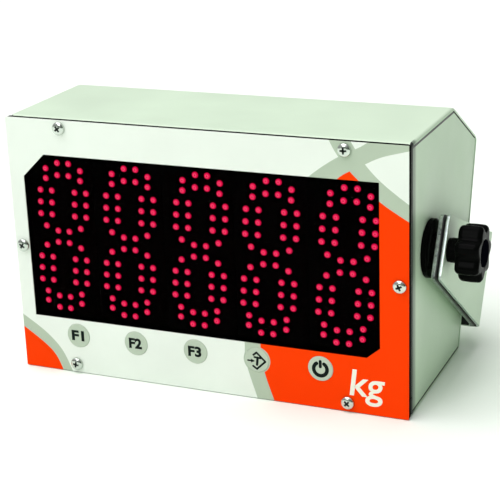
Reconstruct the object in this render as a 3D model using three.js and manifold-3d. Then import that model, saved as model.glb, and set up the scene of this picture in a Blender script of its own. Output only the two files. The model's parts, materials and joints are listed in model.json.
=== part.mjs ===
// A five-digit LED repeater display in a folded steel case. A U bracket carries it, and the display
// tilts in it, clamped by a star knob on the right and turning on a plain bolt on the left.
// Millimetres, +X to the right seen from the front, +Y to the back, +Z up. The parts are placed from
// the overlay's front face (Y = 0), and the whole group is then moved so that the origin is half way
// from the foremost screw head to the rearmost edge of the bracket, on the case's flat bottom.
import * as THREE from "three";
import { mergeVertices } from "three/addons/utils/BufferGeometryUtils.js";
import Module from "manifold-3d";

const wasm = await Module();
wasm.setup();

// ---- Driving dimensions -------------------------------------------------------------------------
const GAP = 0.3; // between neighbours that touch on the real object
const TOUCH = 0.1; // between parts that are pressed together
const SINK = 0.2; // how far two pieces of one solid run into each other
const SHEET = 1.5; // case steel

const PANEL = { width: 202, height: 130, corner: 1.2 };
const OVERLAY = { front: 0, depth: 0.4 };
const PLATE = { front: 0.45, depth: 2.5 };
const GASKET = { front: 3.0, depth: 1.0, band: 7 };
const WINDOW = { left: -93.4, right: 87.4, bottom: 28.5, top: 112.5 };
const WINDOW_CUT = { topLeft: [12, 11.6], bottomRight: [6.5, 5.4] }; // corner cuts, across and down
const LENS = { front: 0.9, depth: 2.0 };

const CASE = { halfWidth: 101, front: 4.1, edgeRound: 1.4, flange: 9, sideFlange: 6.6 };
// The side outline of the case, as [Y, Z]: flat top, sloped rear top, and a rear wall that leans
// forwards on its way down, so that the bracket's back plate has room to swing.
const OUTLINE = [
  [CASE.front, 0],
  [CASE.front, PANEL.height],
  [72.7, PANEL.height],
  [117, 104.5],
  [87.6, 0],
];
const OUTLINE_ROUND = [2.6, 2.6, 3.4, 3.4, 3.4];
const RIM = 1.8; // the case wrap's edge that shows round each side plate
const SIDE_RECESS = 0.4; // how far a side plate sits below that edge
const FRONT_BEND = 3; // a side plate's bend into its front flange

const SCREW = { head: 3.0, rise: 1.9, shank: 1.5, length: 11, hole: 1.9, seat: -0.1 };
const SCREW_PLACES = [
  [-71.6, 126.1],
  [71.6, 126.1],
  [-96.8, 65.2],
  [96.8, 65.2],
  [-71.6, 4.9],
  [71.6, 4.9],
];
const RIVET_NUT = { body: 2, bore: 1.65, length: 8, play: 0.1 };

const KEY = { radius: 6, flange: 7, rise: 0.3, height: 20.2, plunger: 1.6 };
const KEY_PLACES = { f1: -69.6, f2: -37.6, f3: -5.6, tare: 26.4, power: 58.4 };

const LED = { radius: 1.55, tip: 3.7, base: 7, sides: 4 };
const DIGIT = { centres: [-76.1, -39.9, -2.7, 32.8, 70.4], height: 70, slant: 0.066 };
// One digit's dots, in the quarter above its middle and to the right of it, as [across, up].
const DIGIT_QUARTER = [
  [3.1, 37.5],
  [3.1, 31.4],
  [9.5, 34.4],
  [9.5, 29.4],
  [6.3, 23.3],
  [12.6, 23.3],
  [6.3, 17.2],
  [12.6, 17.2],
  [6.3, 11.1],
  [12.6, 11.1],
  [9.5, 5.05],
  [3.1, 2.95],
];
const DIGIT_BOARD = { halfWidth: 14.6, halfHeight: 40.5, depth: 1.2 };
const DISPLAY_BOARD = { halfWidth: 92, bottom: 21.5, top: 118.8, front: 8.6, depth: 1.6 };
const DRIVER = { halfWidth: 5, bottom: 62, top: 82, depth: 2.4 };
const SOCKET = { halfWidth: 20, bottom: 100, top: 106, depth: 6 };
const STANDOFF = { radius: 2.4, across: 86, low: 24.6, high: 115.8 };
const KEY_BOARD = { left: -78, right: 67, bottom: 12.6, top: 27.4, front: 6.5, depth: 1.2 };
const KEY_SWITCH = { half: 3, front: 5.4 };
const CONTROLLER = { left: -36, right: 88, front: 14, back: 76, bottom: 10, depth: 1.6 };
// The blocks on the controller board, as [left, right, front, back, height].
const CONTROLLER_PARTS = [
  [18, 34, 34, 50, 2.6],
  [70, 84, 24, 42, 14],
  [-30, 4, 18, 24, 7],
];
const CAPACITOR = { radius: 6.2, height: 18, places: [[60, 34], [60, 52]] };
const POST = { radius: 3, inset: 5 };
const TRANSFORMER = { x: -66, y: 46, width: 44, depth: 38, core: 16, height: 37, coilHalf: 11 };
const TERMINALS = { x: -22, y: 66, pitch: 5, ways: 6, depth: 8, height: 10, well: 1.7 };

// The bracket is drawn in its own frame, with the pivot at 0, "along" towards the wall plate.
const PIVOT = { y: 32, z: 73.2 };
const BRACKET = { rest: -29, sheet: 4, inner: 106.2, front: -6.3, reach: 87.2, bend: 3 };
const ARM_HALF = { front: 15.2, back: 24.5 };
const BRACKET_BORE = 3.1;
const WALL_SLOT = { across: 62, length: 16, width: 6.5 };
const SEAM = { width: 0.9, depth: 1.6 }; // shows all round the edge, because the sheet is doubled

const STUD = 2.5;
const SPACER = { radius: 13.2, rim: 1.8, neck: 6.6 };
const WASHER = { radius: 5.6, depth: 0.8 };
const KNOB = { lobes: 7, radius: 13.2, valley: 10.7, hub: 5.8, hubLength: 4.4, head: 11.4 };
const KNOB_CHAMFER = 2.4;
const CAP = { radius: 6.3, depth: 2.2, rise: 0.6 };
const WELD_NUT = { radius: 5, depth: 4.5 };
const STUD_START = 91;
const BOLT_HEAD = { radius: 4.6, depth: 3.2 };
const GLAND = { y: 45, z: 20, thread: 6, flange: 9, cap: 8.4, capEnd: 5.2, reach: 17, bore: 3.4 };
const GLAND_FLANGE = { body: 4.5, nut: 4 };
const FAR = 200; // past every part

// ---- Materials ----------------------------------------------------------------------------------
const material = (color, roughness, metalness = 0) =>
  new THREE.MeshStandardMaterial({ color, roughness, metalness });
const CASE_PAINT = material(0xcfe0cd, 0.5);
const BLACK_PLATE = material(0x0c0d0d, 0.45);
const OVERLAY_PRINT = material(0xecf3ea, 0.4);
const SMOKED = material(0x050505, 0.1);
const KEY_GREY = material(0xb9c8b6, 0.45);
const LED_RED = material(0xf0204a, 0.3);
const BOARD_GREEN = material(0x1d5a34, 0.5);
const RUBBER = material(0x161616, 0.9);
const BLACK_PLASTIC = material(0x101112, 0.4);
const ZINC = material(0xc9ced0, 0.35, 1);
const BRASS = material(0xb89a52, 0.35, 1);
const CORE_STEEL = material(0x55585a, 0.6, 1);

// ---- Solids -------------------------------------------------------------------------------------
function toSolid(geometry) {
  const positions = new THREE.BufferGeometry();
  positions.setAttribute("position", geometry.getAttribute("position"));
  if (geometry.index) positions.setIndex(geometry.index);
  const merged = mergeVertices(positions, 1e-4);
  return new wasm.Manifold(
    new wasm.Mesh({
      numProp: 3,
      vertProperties: new Float32Array(merged.getAttribute("position").array),
      triVerts: new Uint32Array(merged.index.array),
    }),
  );
}

function fromSolid(solid) {
  const { numProp, vertProperties, triVerts } = solid.getMesh();
  const geometry = new THREE.BufferGeometry();
  geometry.setAttribute("position", new THREE.BufferAttribute(vertProperties, numProp));
  geometry.setIndex(new THREE.BufferAttribute(triVerts, 1));
  return geometry;
}

const cut = (geometry, ...tools) =>
  fromSolid(tools.reduce((solid, tool) => solid.subtract(toSolid(tool)), toSolid(geometry)));
const join = (...pieces) =>
  fromSolid(pieces.map(toSolid).reduce((whole, piece) => whole.add(piece)));
const common = (a, b) => fromSolid(toSolid(a).intersect(toSolid(b)));

// An outline drawn in X and Z, made into a plate that runs back from the given Y.
function frontPlate(shape, front, depth, curveSegments = 6) {
  const plate = new THREE.ExtrudeGeometry(shape, { depth, bevelEnabled: false, curveSegments });
  return plate.rotateX(Math.PI / 2).translate(0, front + depth, 0);
}

// An outline drawn in Y and Z, made into a plate that runs to the right from the given X.
function sidePlate(shape, left, depth, extra = {}) {
  const options = { depth, bevelEnabled: false, curveSegments: 3, ...extra };
  const turn = new THREE.Matrix4().makeBasis(
    new THREE.Vector3(0, 1, 0),
    new THREE.Vector3(0, 0, 1),
    new THREE.Vector3(1, 0, 0),
  );
  return new THREE.ExtrudeGeometry(shape, options).applyMatrix4(turn).translate(left, 0, 0);
}

// A closed outline with a quadratic round at each corner.
function roundedOutline(points, rounds) {
  const shape = new THREE.Shape();
  points.forEach(([x, y], i) => {
    const corner = new THREE.Vector2(x, y);
    const before = new THREE.Vector2(...points[(i + points.length - 1) % points.length]);
    const after = new THREE.Vector2(...points[(i + 1) % points.length]);
    const round = Array.isArray(rounds) ? rounds[i] : rounds;
    const start = corner.clone().add(before.sub(corner).setLength(round));
    const end = corner.clone().add(after.sub(corner).setLength(round));
    if (i === 0) shape.moveTo(start.x, start.y);
    else shape.lineTo(start.x, start.y);
    if (round > 0) shape.quadraticCurveTo(corner.x, corner.y, end.x, end.y);
  });
  shape.closePath();
  return shape;
}

const rectangle = (left, right, bottom, top) => [
  [left, bottom],
  [right, bottom],
  [right, top],
  [left, top],
];

function box(left, right, front, back, bottom, top) {
  const block = new THREE.BoxGeometry(right - left, back - front, top - bottom);
  return block.translate((left + right) / 2, (front + back) / 2, (bottom + top) / 2);
}

// A round bar along Y from "front" to "back", or along X or Z.
const barY = (radius, front, back, x, z, sides = 16) =>
  new THREE.CylinderGeometry(radius, radius, back - front, sides)
    .translate(x, (front + back) / 2, z);
const barX = (radius, left, right, y, z, sides = 16) =>
  new THREE.CylinderGeometry(radius, radius, right - left, sides)
    .rotateZ(Math.PI / 2)
    .translate((left + right) / 2, y, z);
const barZ = (radius, bottom, top, x, y, sides = 12) =>
  new THREE.CylinderGeometry(radius, radius, top - bottom, sides)
    .rotateX(Math.PI / 2)
    .translate(x, y, (bottom + top) / 2);

// A turned piece on an axis along +X through (y, z), from [radius, X] pairs.
function turnedX(profile, y, z, sides = 24) {
  const points = profile.map(([radius, x]) => new THREE.Vector2(radius, x));
  return new THREE.LatheGeometry(points, sides).rotateZ(-Math.PI / 2).translate(0, y, z);
}

// A turned piece on an axis along +Y through (x, z), from [radius, Y] pairs.
function turnedY(profile, x, z, sides = 16) {
  const points = profile.map(([radius, y]) => new THREE.Vector2(radius, y));
  return new THREE.LatheGeometry(points, sides).translate(x, 0, z);
}

const mirrored = (geometry) => {
  const solid = toSolid(geometry).mirror([1, 0, 0]);
  return fromSolid(solid);
};

const display = new THREE.Group();

function add(name, geometry, look, parent = display) {
  const mesh = new THREE.Mesh(geometry, look);
  mesh.name = name;
  parent.add(mesh);
  return mesh;
}

// ---- Case ---------------------------------------------------------------------------------------
// The side outline moved inwards by a distance, for the case's inside and for its side plates.
function insetOutline(distance, round) {
  const count = OUTLINE.length;
  const line = (i) => {
    const a = new THREE.Vector2(...OUTLINE[i % count]);
    const b = new THREE.Vector2(...OUTLINE[(i + 1) % count]);
    const along = b.clone().sub(a).normalize();
    const inwards = new THREE.Vector2(along.y, -along.x);
    return { point: a.addScaledVector(inwards, distance), along };
  };
  const corners = OUTLINE.map((_, i) => {
    const one = line(i + count - 1);
    const two = line(i);
    const between = two.point.clone().sub(one.point);
    const reach = between.cross(two.along) / one.along.cross(two.along);
    return one.point.clone().addScaledVector(one.along, reach).toArray();
  });
  return roundedOutline(corners, round);
}

// Where the screws' rivet nuts sit in the case's front flanges.
const rivetHoles = (places) =>
  places.map(([x, z]) => {
    const radius = RIVET_NUT.body + RIVET_NUT.play;
    return barY(radius, CASE.front - 1, CASE.front + RIVET_NUT.length + 1, x, z, 12);
  });

// One folded sheet: top, rear slope, rear wall and bottom, with an upper and a lower front flange.
function caseWrap() {
  const round = CASE.edgeRound;
  const outer = sidePlate(
    roundedOutline(OUTLINE, OUTLINE_ROUND),
    -CASE.halfWidth + round,
    2 * (CASE.halfWidth - round),
    {
      bevelEnabled: true,
      bevelThickness: round,
      bevelSize: round,
      bevelOffset: -round,
      bevelSegments: 3,
    },
  );
  const reach = CASE.halfWidth + 1;
  const inside = sidePlate(insetOutline(RIM, 1.5), -reach, 2 * reach);
  const frontHole = box(
    -reach, reach, CASE.front - 1, CASE.front + 3, CASE.flange, PANEL.height - CASE.flange,
  );
  const low = CASE.flange;
  const flangeScrews = SCREW_PLACES.filter(([, z]) => z < low || z > PANEL.height - low);
  return cut(outer, inside, frontHole, ...rivetHoles(flangeScrews));
}

// A side plate lies inside the wrap's edge and bends into a narrow front flange of its own.
function rightSidePlate() {
  const outside = CASE.halfWidth - SIDE_RECESS;
  const inside = outside - SHEET;
  const plate = sidePlate(insetOutline(RIM + GAP, 1.5), inside, SHEET);
  const low = CASE.flange + GAP;
  const high = PANEL.height - CASE.flange - GAP;
  const front = CASE.front;
  const bend = FRONT_BEND;
  // The bent strip, drawn in plan as an L with a round outer corner.
  const strip = new THREE.Shape();
  strip.moveTo(outside - CASE.sideFlange + SIDE_RECESS, front);
  strip.lineTo(outside - bend, front);
  strip.absarc(outside - bend, front + bend, bend, -Math.PI / 2, 0, false);
  strip.lineTo(outside, front + RIM + 3);
  strip.lineTo(inside, front + RIM + 3);
  strip.lineTo(inside, front + bend);
  strip.absarc(outside - bend, front + bend, bend - SHEET, 0, -Math.PI / 2, true);
  strip.lineTo(outside - CASE.sideFlange + SIDE_RECESS, front + SHEET);
  strip.closePath();
  const bent = new THREE.ExtrudeGeometry(strip, {
    depth: high - low,
    bevelEnabled: false,
    curveSegments: 5,
  }).translate(0, 0, low);
  const bore = barX(STUD + GAP, inside - 1, outside + 1, PIVOT.y, PIVOT.z);
  const sideScrew = SCREW_PLACES.filter(([x, z]) => x > 0 && z > low && z < high);
  return cut(join(plate, bent), bore, ...rivetHoles(sideScrew));
}

function makeCase() {
  add("case_wrap", caseWrap(), CASE_PAINT);
  add("right_side_plate", rightSidePlate(), CASE_PAINT);
  const glandHole = barX(GLAND.thread + GAP, -CASE.halfWidth - 1, -90, GLAND.y, GLAND.z);
  add("left_side_plate", cut(mirrored(rightSidePlate()), glandHole), CASE_PAINT);
}

// ---- Front --------------------------------------------------------------------------------------
function windowOutline(inset) {
  const left = WINDOW.left + inset;
  const right = WINDOW.right - inset;
  const bottom = WINDOW.bottom + inset;
  const top = WINDOW.top - inset;
  const [leftAcross, leftDown] = WINDOW_CUT.topLeft;
  const [rightAcross, rightUp] = WINDOW_CUT.bottomRight;
  const corners = [
    [left, bottom],
    [right - rightAcross, bottom],
    [right, bottom + rightUp],
    [right, top],
    [left + leftAcross, top],
    [left, top - leftDown],
  ];
  return roundedOutline(corners, 0);
}

// A sheet of the panel's outline with the window, the key holes and the screw holes cut out of it.
function panelSheet(front, depth) {
  const half = PANEL.width / 2;
  const outline = roundedOutline(rectangle(-half, half, 0, PANEL.height), PANEL.corner);
  const sheet = frontPlate(outline, front, depth, 2);
  const through = [front - 1, front + depth + 1];
  const holes = [
    frontPlate(windowOutline(0), through[0], through[1] - through[0]),
    ...Object.values(KEY_PLACES).map((x) => barY(KEY.radius + GAP, ...through, x, KEY.height, 20)),
    ...SCREW_PLACES.map(([x, z]) => barY(SCREW.hole, ...through, x, z, 10)),
  ];
  return cut(sheet, ...holes);
}

function gasket() {
  const half = PANEL.width / 2 - 0.6;
  const low = 0.8;
  const high = PANEL.height - 0.8;
  const ring = box(-half, half, GASKET.front, GASKET.front + GASKET.depth, low, high);
  const middle = box(
    -half + GASKET.band, half - GASKET.band, 0, FAR, low + GASKET.band, high - GASKET.band,
  );
  const holes = SCREW_PLACES.map(([x, z]) => barY(SCREW.hole, 0, FAR, x, z, 10));
  return cut(ring, middle, ...holes);
}

// A key is a disc that shows in its hole, a wider flange behind the plate that keeps it in, and a
// plunger that reaches towards its switch.
function key(x) {
  const behind = PLATE.front + PLATE.depth + 0.25;
  return turnedY(
    [
      [0, -KEY.rise],
      [KEY.radius - 0.4, -KEY.rise],
      [KEY.radius, -KEY.rise + 0.3],
      [KEY.radius, behind],
      [KEY.flange, behind],
      [KEY.flange, behind + 0.7],
      [KEY.plunger, behind + 0.7],
      [KEY.plunger, behind + 1.6],
      [0, behind + 1.6],
    ],
    x,
    KEY.height,
    20,
  );
}

function panelScrew([x, z]) {
  const { head, rise, shank, length, seat } = SCREW;
  return turnedY(
    [
      [0, seat - rise],
      [0.53 * head, seat - rise + 0.15],
      [0.87 * head, seat - 0.63 * rise],
      [head, seat - 0.4],
      [head, seat],
      [shank, seat],
      [shank, length],
      [0, length],
    ],
    x,
    z,
    12,
  );
}

// A rivet nut is pressed into the case's flange from the front and holds one panel screw.
function rivetNut([x, z]) {
  const front = CASE.front + 2 * TOUCH;
  const tube = barY(RIVET_NUT.body, front, front + RIVET_NUT.length, x, z, 12);
  return cut(tube, barY(RIVET_NUT.bore, 0, FAR, x, z, 12));
}

function makeFront() {
  add("front_overlay", panelSheet(OVERLAY.front, OVERLAY.depth), OVERLAY_PRINT);
  add("front_panel", panelSheet(PLATE.front, PLATE.depth), BLACK_PLATE);
  add("front_gasket", gasket(), RUBBER);
  add("window_lens", frontPlate(windowOutline(0.2), LENS.front, LENS.depth), SMOKED);
  for (const [name, x] of Object.entries(KEY_PLACES)) add(`key_${name}`, key(x), KEY_GREY);
  SCREW_PLACES.forEach((place, i) => {
    add(`panel_screw_${i + 1}`, panelScrew(place), ZINC);
    add(`rivet_nut_${i + 1}`, rivetNut(place), ZINC);
  });
}

// ---- Electronics --------------------------------------------------------------------------------
// The 48 dots of a figure eight: the quarter's dots, mirrored across and down, then slanted.
function digitDots(centre) {
  const dots = [];
  for (const [across, up] of DIGIT_QUARTER)
    for (const side of [-1, 1])
      for (const half of [-1, 1])
        dots.push([centre + side * across + half * up * DIGIT.slant, DIGIT.height + half * up]);
  return dots;
}

function ledDigit(centre) {
  const { halfWidth, halfHeight, depth } = DIGIT_BOARD;
  const lean = halfHeight * DIGIT.slant;
  const middle = DIGIT.height;
  const outline = new THREE.Shape(
    [
      [centre - halfWidth - lean, middle - halfHeight],
      [centre + halfWidth - lean, middle - halfHeight],
      [centre + halfWidth + lean, middle + halfHeight],
      [centre - halfWidth + lean, middle + halfHeight],
    ].map(([x, z]) => new THREE.Vector2(x, z)),
  );
  const board = frontPlate(outline, LED.base, depth);
  const lamps = digitDots(centre).map(([x, z]) =>
    barY(LED.radius, LED.tip, LED.base + 0.4, x, z, LED.sides),
  );
  return join(board, ...lamps);
}

function displayBoard() {
  const { halfWidth, bottom, top, front, depth } = DISPLAY_BOARD;
  const back = front + depth;
  const board = box(-halfWidth, halfWidth, front, back, bottom, top);
  const raised = (x, part) =>
    box(
      x - part.halfWidth, x + part.halfWidth, back - SINK, back + part.depth, part.bottom, part.top,
    );
  return join(board, ...DIGIT.centres.map((x) => raised(x, DRIVER)), raised(0, SOCKET));
}

function keyBoard() {
  const { left, right, bottom, top, front, depth } = KEY_BOARD;
  const board = box(left, right, front, front + depth, bottom, top);
  const { half, front: face } = KEY_SWITCH;
  const switches = Object.values(KEY_PLACES).map((x) =>
    box(x - half, x + half, face, front + SINK, KEY.height - half, KEY.height + half),
  );
  return join(board, ...switches);
}

function controllerBoard() {
  const { left, right, front, back, bottom, depth } = CONTROLLER;
  const top = bottom + depth;
  const { radius, height, places } = CAPACITOR;
  return join(
    box(left, right, front, back, bottom, top),
    ...CONTROLLER_PARTS.map(([x0, x1, y0, y1, rise]) =>
      box(x0, x1, y0, y1, top - SINK, top + rise),
    ),
    ...places.map(([x, y]) => barZ(radius, top - SINK, top + height, x, y, 16)),
  );
}

function transformer() {
  const { x, y, width, depth, core, height, coilHalf } = TRANSFORMER;
  const floor = SHEET + 0.8;
  const middle = floor + height / 2;
  const laminations = box(
    x - width / 2, x + width / 2, y - core / 2, y + core / 2, floor, floor + height,
  );
  const coil = box(
    x - coilHalf, x + coilHalf, y - depth / 2, y + depth / 2, middle - coilHalf, middle + coilHalf,
  );
  return join(laminations, coil);
}

function terminalBlock() {
  const { x, y, pitch, ways, depth, height, well } = TERMINALS;
  const low = CONTROLLER.bottom + CONTROLLER.depth + TOUCH;
  const block = box(x, x + pitch * ways, y, y + depth, low, low + height);
  const wells = Array.from({ length: ways }, (_, i) =>
    barZ(well, low + 0.6 * height, low + height + 1, x + pitch * (i + 0.5), y + depth / 2, 8),
  );
  return cut(block, ...wells);
}

function makeElectronics() {
  DIGIT.centres.forEach((x, i) => add(`led_digit_${i + 1}`, ledDigit(x), LED_RED));
  add("display_board", displayBoard(), BOARD_GREEN);
  add("keypad_board", keyBoard(), BOARD_GREEN);
  add("controller_board", controllerBoard(), BOARD_GREEN);
  add("power_transformer", transformer(), CORE_STEEL);
  add("terminal_block", terminalBlock(), BOARD_GREEN);

  const { across, low, high, radius } = STANDOFF;
  const plateBack = PLATE.front + PLATE.depth + TOUCH;
  const boardFront = DISPLAY_BOARD.front - TOUCH;
  [[-across, high], [across, high], [-across, low], [across, low]].forEach(([x, z], i) =>
    add(`display_standoff_${i + 1}`, barY(radius, plateBack, boardFront, x, z, 6), BRASS),
  );
  const xs = [CONTROLLER.left + POST.inset, CONTROLLER.right - POST.inset];
  const ys = [CONTROLLER.front + POST.inset, CONTROLLER.back - POST.inset];
  const top = CONTROLLER.bottom - TOUCH;
  ys.flatMap((y) => xs.map((x) => [x, y])).forEach(([x, y], i) =>
    add(`board_post_${i + 1}`, barZ(POST.radius, RIM + TOUCH, top, x, y, 6), BRASS),
  );
}

// ---- Cable entry --------------------------------------------------------------------------------
// A gland through the left side plate, low down, where the bracket never passes.
function makeGland() {
  const { y, z, thread, flange, cap, capEnd, reach } = GLAND;
  const wall = -(CASE.halfWidth - SIDE_RECESS);
  const seat = wall - TOUCH;
  const threadEnd = seat - 2 * GLAND_FLANGE.body;
  const bore = barX(GLAND.bore, -FAR, 0, y, z, 12);
  const body = cut(
    join(
      barX(thread, threadEnd, wall + 11, y, z, 20),
      barX(flange, seat - GLAND_FLANGE.body, seat, y, z, 6),
    ),
    bore,
  );
  add("gland_body", body, BLACK_PLASTIC);
  const capStart = seat - GLAND_FLANGE.body - GAP;
  const dome = turnedX(
    [
      [0, seat - reach],
      [capEnd, seat - reach],
      [cap, seat - reach + 4],
      [cap, capStart],
      [0, capStart],
    ],
    y,
    z,
    20,
  );
  const threadRoom = barX(thread + GAP, threadEnd - GAP, capStart + 1, y, z, 20);
  add("gland_cap", cut(dome, threadRoom, bore), BLACK_PLASTIC);
  const inner = wall + SHEET + TOUCH;
  const nut = cut(
    barX(flange, inner, inner + GLAND_FLANGE.nut, y, z, 6),
    barX(thread + GAP, -FAR, 0, y, z, 20),
  );
  add("gland_locknut", nut, BLACK_PLASTIC);
}

// ---- Bracket ------------------------------------------------------------------------------------
// A U of bent sheet, seen from above, drawn up by the given height each way. Growth moves its front
// ends forwards, so that a thinner U can cut a groove that is open at the ends.
function bentStrip(inner, sheet, reach, bend, tall, growth = 0) {
  const outer = inner + sheet;
  const front = BRACKET.front - growth;
  const turn = reach - bend - sheet;
  const plan = new THREE.Shape();
  plan.moveTo(-outer, front);
  plan.lineTo(-outer, turn);
  plan.absarc(-outer + bend + sheet, turn, bend + sheet, Math.PI, Math.PI / 2, true);
  plan.lineTo(outer - bend - sheet, reach);
  plan.absarc(outer - bend - sheet, turn, bend + sheet, Math.PI / 2, 0, true);
  plan.lineTo(outer, front);
  plan.lineTo(inner, front);
  plan.lineTo(inner, turn);
  plan.absarc(inner - bend, turn, bend, 0, Math.PI / 2, false);
  plan.lineTo(-inner + bend, reach - sheet);
  plan.absarc(-inner + bend, turn, bend, Math.PI / 2, Math.PI, false);
  plan.lineTo(-inner, front);
  plan.closePath();
  const options = { depth: 2 * tall, bevelEnabled: false, curveSegments: 4 };
  return new THREE.ExtrudeGeometry(plan, options).translate(0, 0, -tall);
}

// The side view of the bracket, from the narrow front of its arms to the tall wall plate.
function taperedSide(inset) {
  const { front, reach } = BRACKET;
  const past = reach + 5;
  const low = ARM_HALF.front - inset;
  const tall = ARM_HALF.back - inset;
  const corners = [
    [front + inset, -low],
    [front + inset, low],
    [reach - 5, tall],
    [past, tall],
    [past, -tall],
    [reach - 5, -tall],
  ];
  const half = BRACKET.inner + BRACKET.sheet + 5;
  return sidePlate(roundedOutline(corners, [2.5, 2.5, 0, 0, 0, 0]), -half, 2 * half);
}

// A wall plate with a tapered arm at each end, bent from doubled sheet. It turns about X at the pivot.
function bracketShape() {
  const { sheet, inner, reach, bend } = BRACKET;
  const half = inner + sheet + 5;
  const strip = bentStrip(inner, sheet, reach, bend, ARM_HALF.back);
  const layer = (sheet - SEAM.width) / 2;
  const middle = bentStrip(
    inner + layer, SEAM.width, reach - layer, bend + layer, ARM_HALF.back + 1, 1,
  );
  const seam = cut(middle, taperedSide(SEAM.depth));
  const bore = barX(BRACKET_BORE, -half, half, 0, 0, 16);
  const { across, length, width } = WALL_SLOT;
  const slots = [-across, across].map((x) => {
    const run = (length - width) / 2;
    const slot = new THREE.Shape();
    slot.absarc(x + run, 0, width / 2, -Math.PI / 2, Math.PI / 2, false);
    slot.absarc(x - run, 0, width / 2, Math.PI / 2, (3 * Math.PI) / 2, false);
    return frontPlate(slot, reach - 10, 20, 6);
  });
  return cut(common(strip, taperedSide(0)), bore, seam, ...slots);
}

function makeBracket() {
  const bracket = add("tilt_bracket", bracketShape(), CASE_PAINT);
  bracket.position.set(0, PIVOT.y, PIVOT.z);
  bracket.rotation.x = THREE.MathUtils.degToRad(BRACKET.rest);
}

// ---- Clamps -------------------------------------------------------------------------------------
function spacer() {
  const start = CASE.halfWidth - SIDE_RECESS + TOUCH;
  const end = BRACKET.inner - TOUCH;
  const { radius, rim, neck } = SPACER;
  const cone = turnedX(
    [
      [0, start],
      [radius, start],
      [radius, start + rim],
      [radius - 1.6, start + rim + 0.7],
      [neck + 1.2, end - 1.2],
      [neck, end - 0.6],
      [neck, end],
      [0, end],
    ],
    PIVOT.y,
    PIVOT.z,
    32,
  );
  return cut(cone, barX(STUD + GAP, start - 5, end + 5, PIVOT.y, PIVOT.z, 12));
}

const WASHER_START = BRACKET.inner + BRACKET.sheet + TOUCH;
const KNOB_START = WASHER_START + WASHER.depth + TOUCH;
const HEAD_START = KNOB_START + KNOB.hubLength;
const HEAD_END = HEAD_START + KNOB.head;
const STUD_END = HEAD_START + 4.8;

function washer() {
  const ring = barX(
    WASHER.radius, WASHER_START, WASHER_START + WASHER.depth, PIVOT.y, PIVOT.z, 16,
  );
  return cut(ring, barX(STUD + GAP, 0, FAR, PIVOT.y, PIVOT.z, 12));
}

// A star grip: a lobed head with chamfered ends on a round hub, with a blind bore for its stud and
// a recess in its end for the cap.
function knob() {
  const { lobes, radius, valley, hub, head } = KNOB;
  const steps = lobes * 6;
  const middle = (radius + valley) / 2;
  const swing = (radius - valley) / 2;
  const rim = Array.from({ length: steps }, (_, i) => {
    const angle = (2 * Math.PI * i) / steps;
    const reach = middle + swing * Math.cos(lobes * angle);
    return new THREE.Vector2(reach * Math.cos(angle), reach * Math.sin(angle));
  });
  const star = sidePlate(new THREE.Shape(rim), HEAD_START + KNOB_CHAMFER, head - 2 * KNOB_CHAMFER, {
    bevelEnabled: true,
    bevelThickness: KNOB_CHAMFER,
    bevelSize: KNOB_CHAMFER,
    bevelOffset: -KNOB_CHAMFER,
    bevelSegments: 2,
  }).translate(0, PIVOT.y, PIVOT.z);
  const neck = barX(hub, KNOB_START, HEAD_START + 1, PIVOT.y, PIVOT.z, 24);
  const bore = barX(STUD + TOUCH, KNOB_START - 5, STUD_END + SINK, PIVOT.y, PIVOT.z, 12);
  const recess = barX(CAP.radius + TOUCH, HEAD_END - CAP.depth, FAR, PIVOT.y, PIVOT.z, 24);
  return cut(join(star, neck), bore, recess);
}

function knobCap() {
  const start = HEAD_END - CAP.depth + TOUCH;
  return turnedX(
    [
      [0, start],
      [CAP.radius, start],
      [CAP.radius, HEAD_END],
      [CAP.radius - 1.2, HEAD_END + CAP.rise],
      [0, HEAD_END + CAP.rise],
    ],
    PIVOT.y,
    PIVOT.z,
    24,
  );
}

const stud = () => barX(STUD, STUD_START, STUD_END, PIVOT.y, PIVOT.z, 12);

// The left arm turns on a low hexagonal bolt, which sits where the knob sits on the right.
function pivotBolt() {
  const end = KNOB_START + BOLT_HEAD.depth;
  return join(
    barX(STUD, STUD_START, KNOB_START + SINK, PIVOT.y, PIVOT.z, 12),
    barX(BOLT_HEAD.radius, KNOB_START, end, PIVOT.y, PIVOT.z, 6),
  );
}

function weldNut() {
  const end = CASE.halfWidth - SIDE_RECESS - SHEET - TOUCH;
  const nut = barX(WELD_NUT.radius, end - WELD_NUT.depth, end, PIVOT.y, PIVOT.z, 6);
  return cut(nut, barX(STUD + TOUCH, 0, FAR, PIVOT.y, PIVOT.z, 12));
}

function makeClamps() {
  const onBothSides = [
    ["spacer", spacer(), BLACK_PLASTIC],
    ["clamp_washer", washer(), BLACK_PLASTIC],
    ["weld_nut", weldNut(), ZINC],
  ];
  for (const [name, geometry, look] of onBothSides) {
    add(`${name}_right`, geometry, look);
    add(`${name}_left`, mirrored(geometry), look);
  }
  add("star_knob", knob(), BLACK_PLASTIC);
  add("knob_cap", knobCap(), BLACK_PLASTIC);
  add("knob_stud", stud(), ZINC);
  add("pivot_bolt", mirrored(pivotBolt()), ZINC);
}

makeCase();
makeFront();
makeElectronics();
makeGland();
makeBracket();
makeClamps();

// The object runs from the screw heads to the bracket's rearmost corner.
const tilt = THREE.MathUtils.degToRad(BRACKET.rest);
const REAR = PIVOT.y + BRACKET.reach * Math.cos(tilt) - ARM_HALF.back * Math.sin(tilt);
const FOREMOST = SCREW.seat - SCREW.rise;
display.position.y = -(REAR + FOREMOST) / 2;

export default display;
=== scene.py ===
import json
import math

import bmesh
import bpy
from mathutils import Matrix, Vector
from mathutils.geometry import delaunay_2d_cdt


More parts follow.
